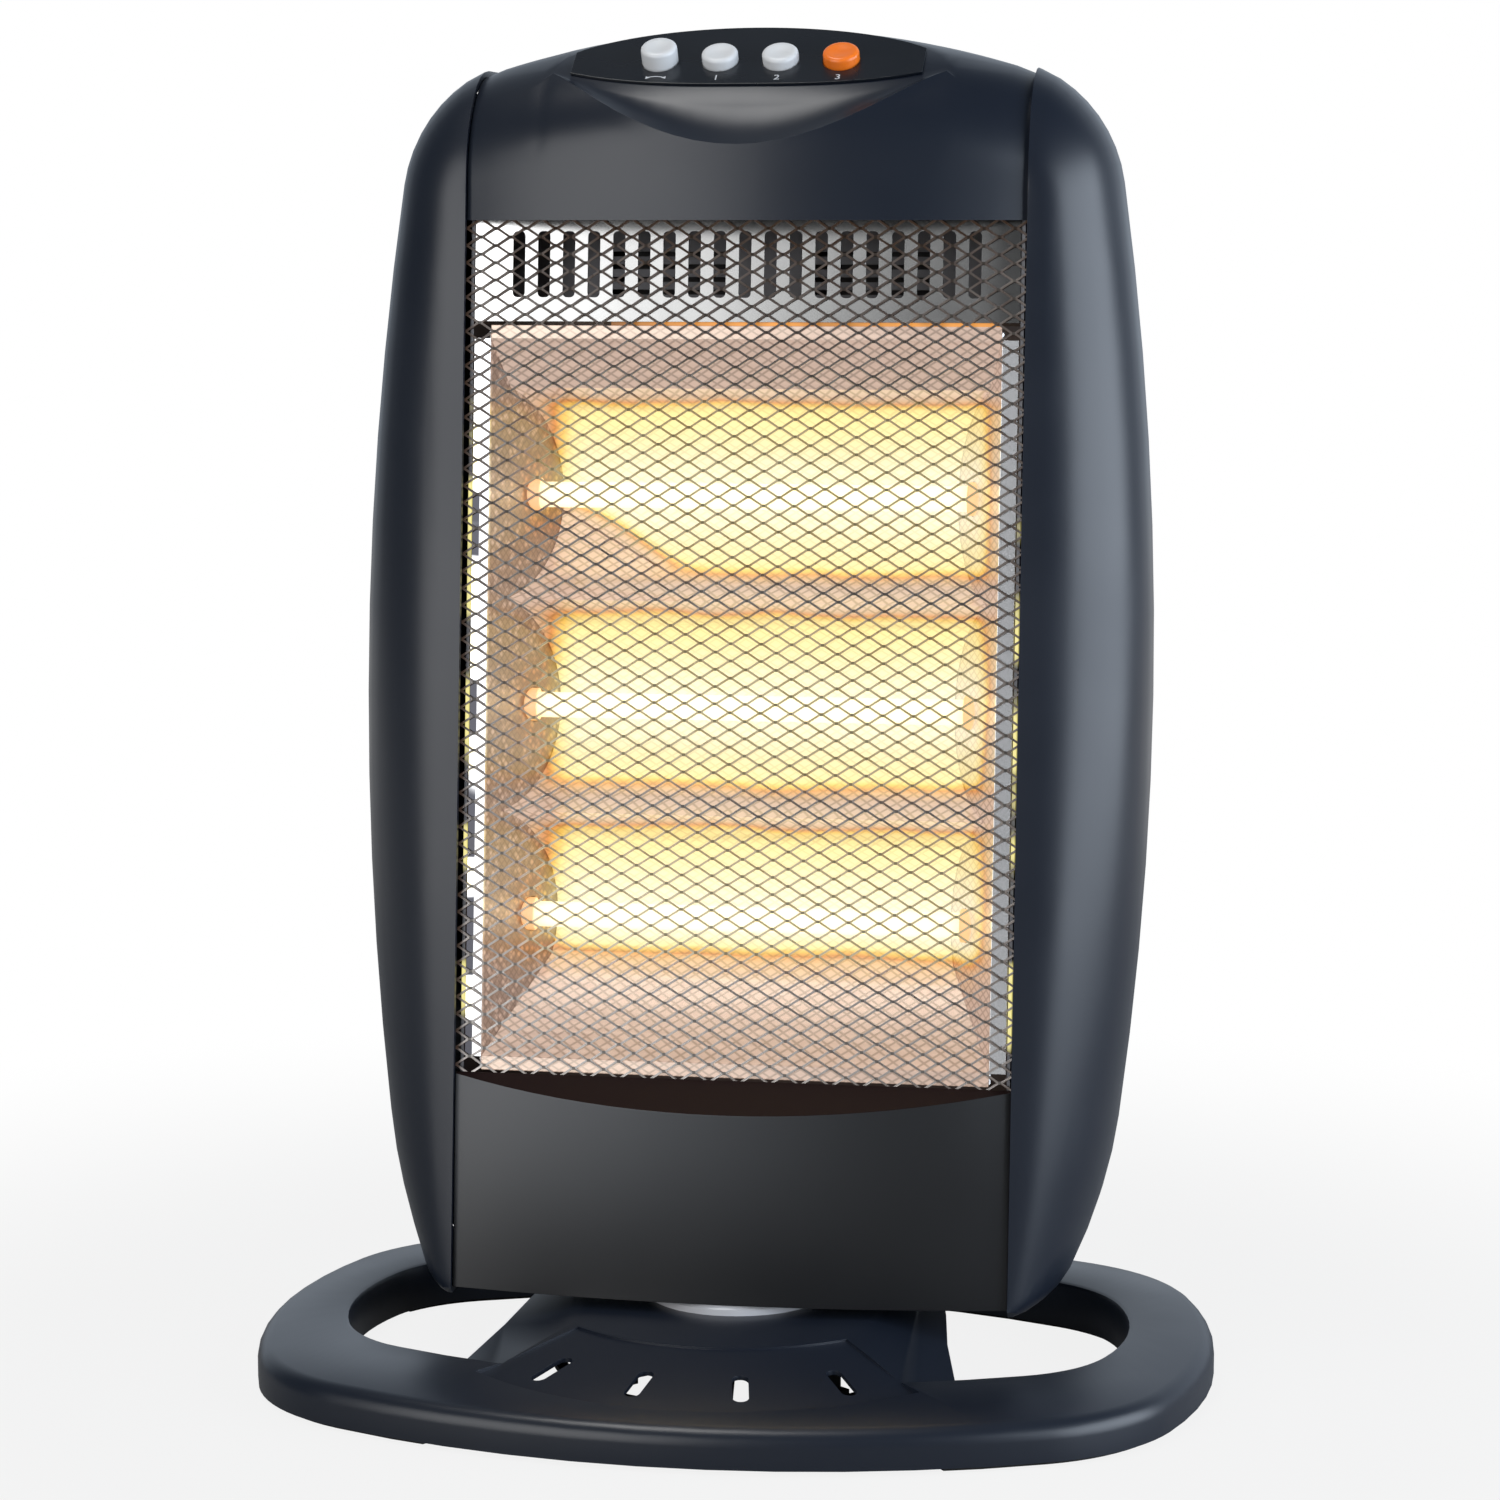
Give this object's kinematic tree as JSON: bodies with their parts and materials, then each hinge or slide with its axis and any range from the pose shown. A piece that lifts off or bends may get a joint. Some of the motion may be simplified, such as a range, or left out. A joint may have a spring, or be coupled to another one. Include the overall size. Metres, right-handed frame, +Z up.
{
  "type": "halogen heater",
  "caption": "Free-standing halogen heater with an oscillating barrel-shaped head, mesh guard, polished trough reflector and an open oval base.",
  "frame": {"origin": "centre of the base on the floor, under the swing axis", "axes": "+Z up, the front faces -Y, +X to the right seen from the front"},
  "size_m": [0.3696, 0.2836, 0.5162],
  "materials": {
    "casing": "satin moulded charcoal-navy plastic",
    "dark_casing": "satin moulded dark grey plastic",
    "panel_black": "glossy near-black panel",
    "black_plastic": "fine-grained black plastic",
    "light_plastic": "light grey acetal",
    "white_plastic": "natural nylon",
    "red_plastic": "red plastic",
    "button_grey": "light grey satin plastic",
    "button_orange": "orange satin plastic",
    "mesh_steel": "bright expanded steel",
    "vent_steel": "bright pressed steel",
    "reflector_gold": "polished reflector sheet, lit warm",
    "end_steel": "heat-tinted perforated steel",
    "bright_steel": "zinc-plated steel",
    "screw_steel": "zinc-plated screw",
    "dark_screw": "black screw",
    "quartz": "clear quartz tube",
    "tungsten": "glowing tungsten coil",
    "ceramic": "off-white ceramic",
    "rubber": "black rubber"
  },
  "bodies": {
    "base": {"base_shell": "casing", "hub_bottom_plate": "black_plastic", "foot_pads": "rubber", "base_screws": "screw_steel", "glide_ring": "light_plastic", "yoke_plate": "white_plastic", "tip_switch": "black_plastic"},
    "head": {"swivel_collar": "bright_steel", "swivel_retainer": "bright_steel", "swivel_screws": "screw_steel", "head_pan": "black_plastic", "pan_screws": "screw_steel", "side_cover_left": "casing", "side_cover_right": "casing", "top_cover": "casing", "lower_cover": "dark_casing", "rear_cover": "dark_casing", "rear_screws": "dark_screw", "cord_gland": "rubber", "control_panel": "panel_black", "switch_bracket": "bright_steel", "switch_bodies": "black_plastic", "mesh_guard": "mesh_steel", "vent_plate": "vent_steel", "reflector": "reflector_gold", "reflector_end_left": "end_steel", "reflector_end_right": "end_steel", "lamp_tubes": "quartz", "lamp_filaments": "tungsten", "lamp_caps": "ceramic", "lamp_holders": "bright_steel", "chassis": "bright_steel", "chassis_brackets": "bright_steel", "thermal_cutout": "ceramic", "terminal_block": "white_plastic", "swing_motor": "bright_steel", "motor_screws": "screw_steel"},
    "plunger": {"tip_plunger": "red_plastic"},
    "crank": {"motor_shaft": "screw_steel", "crank": "white_plastic"},
    "button_swing": {"button_swing": "button_grey"},
    "button_heat_1": {"button_heat_1": "button_grey"},
    "button_heat_2": {"button_heat_2": "button_grey"},
    "button_heat_3": {"button_heat_3": "button_orange"}
  },
  "joints": [
    {"name": "head_swing", "type": "hinge", "parent": "base", "child": "head", "pos_m": [0, 0, 0.03], "axis": [0, 0, 1], "range_deg": [-33, 33]},
    {"name": "crank_turn", "type": "hinge", "parent": "head", "child": "crank", "pos_m": [0, 0.022, 0.02], "axis": [0, 0, 1], "range_deg": [-105, 105]},
    {"name": "swing_press", "type": "slide", "parent": "head", "child": "button_swing", "axis": [0, 0.5592, -0.829], "range_m": [0, 0.004], "stiffness_N_per_m": 300, "springref_m": -0.003},
    {"name": "heat_1_press", "type": "slide", "parent": "head", "child": "button_heat_1", "axis": [0, 0.5592, -0.829], "range_m": [-0.0025, 0.0015], "stiffness_N_per_m": 300},
    {"name": "heat_2_press", "type": "slide", "parent": "head", "child": "button_heat_2", "axis": [0, 0.5592, -0.829], "range_m": [-0.0025, 0.0015], "stiffness_N_per_m": 300},
    {"name": "heat_3_press", "type": "slide", "parent": "head", "child": "button_heat_3", "axis": [0, 0.5592, -0.829], "range_m": [-0.0025, 0.0015], "stiffness_N_per_m": 300},
    {"name": "plunger_slide", "type": "slide", "parent": "base", "child": "plunger", "axis": [0, 0, 1], "range_m": [-0.004, 0], "stiffness_N_per_m": 50, "springref_m": -0.006}
  ],
  "couplings": [
    {"joint": "crank_turn", "follows": "head_swing", "ratio": -3.175}
  ]
}
